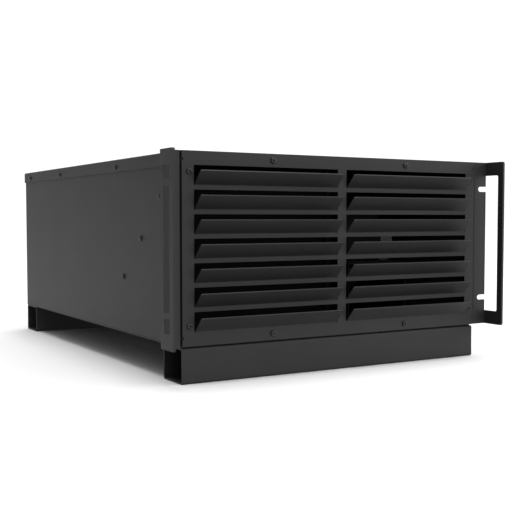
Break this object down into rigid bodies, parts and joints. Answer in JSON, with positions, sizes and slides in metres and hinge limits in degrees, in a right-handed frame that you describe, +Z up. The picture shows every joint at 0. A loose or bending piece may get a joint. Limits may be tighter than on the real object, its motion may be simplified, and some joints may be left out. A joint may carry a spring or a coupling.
{
  "type": "rack-mounted cooling unit",
  "caption": "Rack-mounted cooling unit: louvred sheet-metal case on two box-section cross tubes, with bent rack ears that form pull handles.",
  "frame": {"origin": "centre of the outline in X and Y, on the floor under the cross tubes", "axes": "+Z up, front and louvres towards -Y, +X to the right seen from the front"},
  "size_m": [0.4826, 0.653, 0.2605],
  "materials": {
    "coat": "satin powder coat",
    "dark_coat": "satin black",
    "zinc_steel": "bright zinc plate",
    "aluminium": "mill finish",
    "copper": "drawn copper",
    "black_plastic": "fine grain",
    "filter_cloth": "open weave",
    "foam": "closed-cell foam",
    "rubber": "matt",
    "black_enamel": "gloss enamel",
    "motor_grey": "satin",
    "board": "solder mask"
  },
  "bodies": {
    "chassis": {"front_foot_tube": "coat", "rear_foot_tube": "coat", "foot_tube_bolts": "zinc_steel", "base_pan": "coat", "left_side_panel": "coat", "right_side_panel": "coat", "top_cover": "coat", "rear_panel": "coat", "front_frame": "dark_coat", "front_louvre_panel": "coat", "left_rack_ear": "coat", "right_rack_ear": "coat", "front_panel_screws": "dark_coat", "side_screws": "dark_coat", "cover_screws": "dark_coat", "rear_panel_screws": "dark_coat", "bulkhead_panel": "zinc_steel", "bulkhead_foam": "foam", "plenum_divider": "zinc_steel", "filter_frame": "black_plastic", "filter_mesh": "filter_cloth", "drip_tray": "black_plastic", "drain_spout": "black_plastic", "evaporator_fins": "aluminium", "evaporator_tubes": "copper", "evaporator_end_plates": "zinc_steel", "blower_housing": "zinc_steel", "blower_inlet_ring": "zinc_steel", "blower_motor": "motor_grey", "blower_motor_bracket": "zinc_steel", "compressor": "black_enamel", "compressor_feet": "rubber", "compressor_bolts": "zinc_steel", "accumulator": "black_enamel", "accumulator_clamp": "zinc_steel", "filter_drier": "copper", "condenser_fins": "aluminium", "condenser_tubes": "copper", "condenser_end_plates": "zinc_steel", "condenser_baffle": "zinc_steel", "discharge_pipe": "copper", "liquid_pipe": "copper", "capillary_pipe": "copper", "suction_pipe": "copper", "left_fan_frame": "black_plastic", "right_fan_frame": "black_plastic", "left_fan_guard": "dark_coat", "right_fan_guard": "dark_coat", "fan_screws": "zinc_steel", "electrical_box": "zinc_steel", "electrical_box_lid": "zinc_steel", "control_board": "board", "run_capacitor": "aluminium", "power_inlet": "black_plastic", "switch_bezel": "black_plastic"},
    "blower_rotor": {"blower_wheel": "black_plastic", "blower_shaft": "zinc_steel"},
    "left_fan": {"left_fan_rotor": "black_plastic"},
    "right_fan": {"right_fan_rotor": "black_plastic"},
    "rocker": {"switch_rocker": "black_plastic"}
  },
  "joints": [
    {"name": "blower_spin", "type": "hinge", "parent": "chassis", "child": "blower_rotor", "pos_m": [0.07, -0.1455, 0.14965], "axis": [1, 0, 0], "continuous": true},
    {"name": "left_fan_spin", "type": "hinge", "parent": "chassis", "child": "left_fan", "pos_m": [-0.1186, 0.2895, 0.15165], "axis": [0, 1, 0], "continuous": true},
    {"name": "right_fan_spin", "type": "hinge", "parent": "chassis", "child": "right_fan", "pos_m": [0.0374, 0.2895, 0.15165], "axis": [0, 1, 0], "continuous": true},
    {"name": "power_rocker", "type": "hinge", "parent": "chassis", "child": "rocker", "pos_m": [0.1804, 0.3065, 0.188], "axis": [1, 0, 0], "range_deg": [0, 16]}
  ]
}
